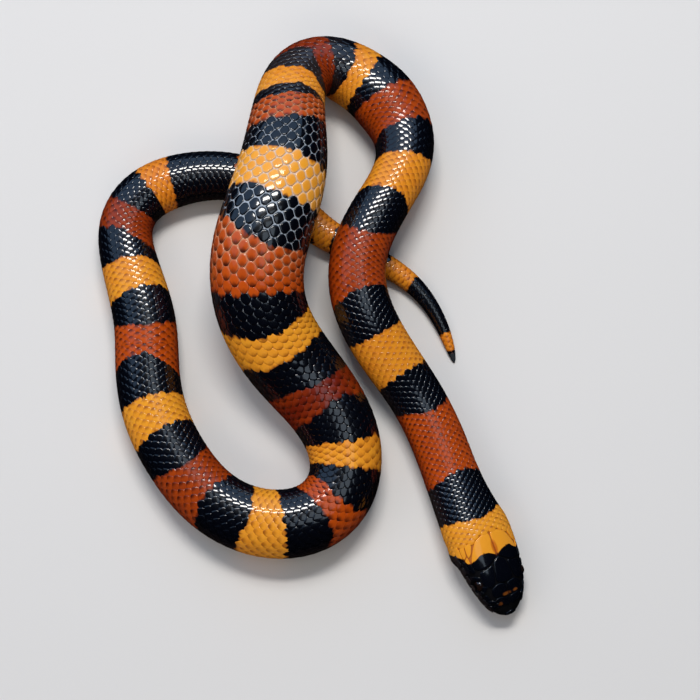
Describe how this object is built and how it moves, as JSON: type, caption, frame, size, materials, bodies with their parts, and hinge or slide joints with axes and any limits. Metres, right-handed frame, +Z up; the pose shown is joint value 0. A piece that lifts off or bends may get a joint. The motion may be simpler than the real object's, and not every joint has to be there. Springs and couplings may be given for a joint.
{
  "type": "milk snake",
  "caption": "Young ringed milk snake lying in loose bends, thick middle and neck arched over its own tail, head plates and belly scutes raised.",
  "frame": {"origin": "on the floor, under the middle of the animal's bounding box", "axes": "+Z up, +Y towards the loop of the body that lies farthest from the head, -Y towards the snout"},
  "size_m": [0.0556, 0.0768, 0.0156],
  "materials": {
    "red": "smooth scales with a low sheen",
    "black": "smooth glossy scales with a dark blue sheen",
    "orange": "smooth scales with a low sheen",
    "eye": "wet and glossy"
  },
  "bodies": {
    "root": {"head": "black", "eye_left": "eye", "eye_right": "eye", "neck": "red", "trunk_1": "red", "trunk_2": "orange", "trunk_3": "orange", "trunk_4": "orange", "trunk_5": "red", "trunk_6": "black", "trunk_7": "red", "trunk_8": "orange", "trunk_9": "red", "trunk_10": "black", "tail_1": "black", "tail_2": "orange"}
  },
  "joints": []
}
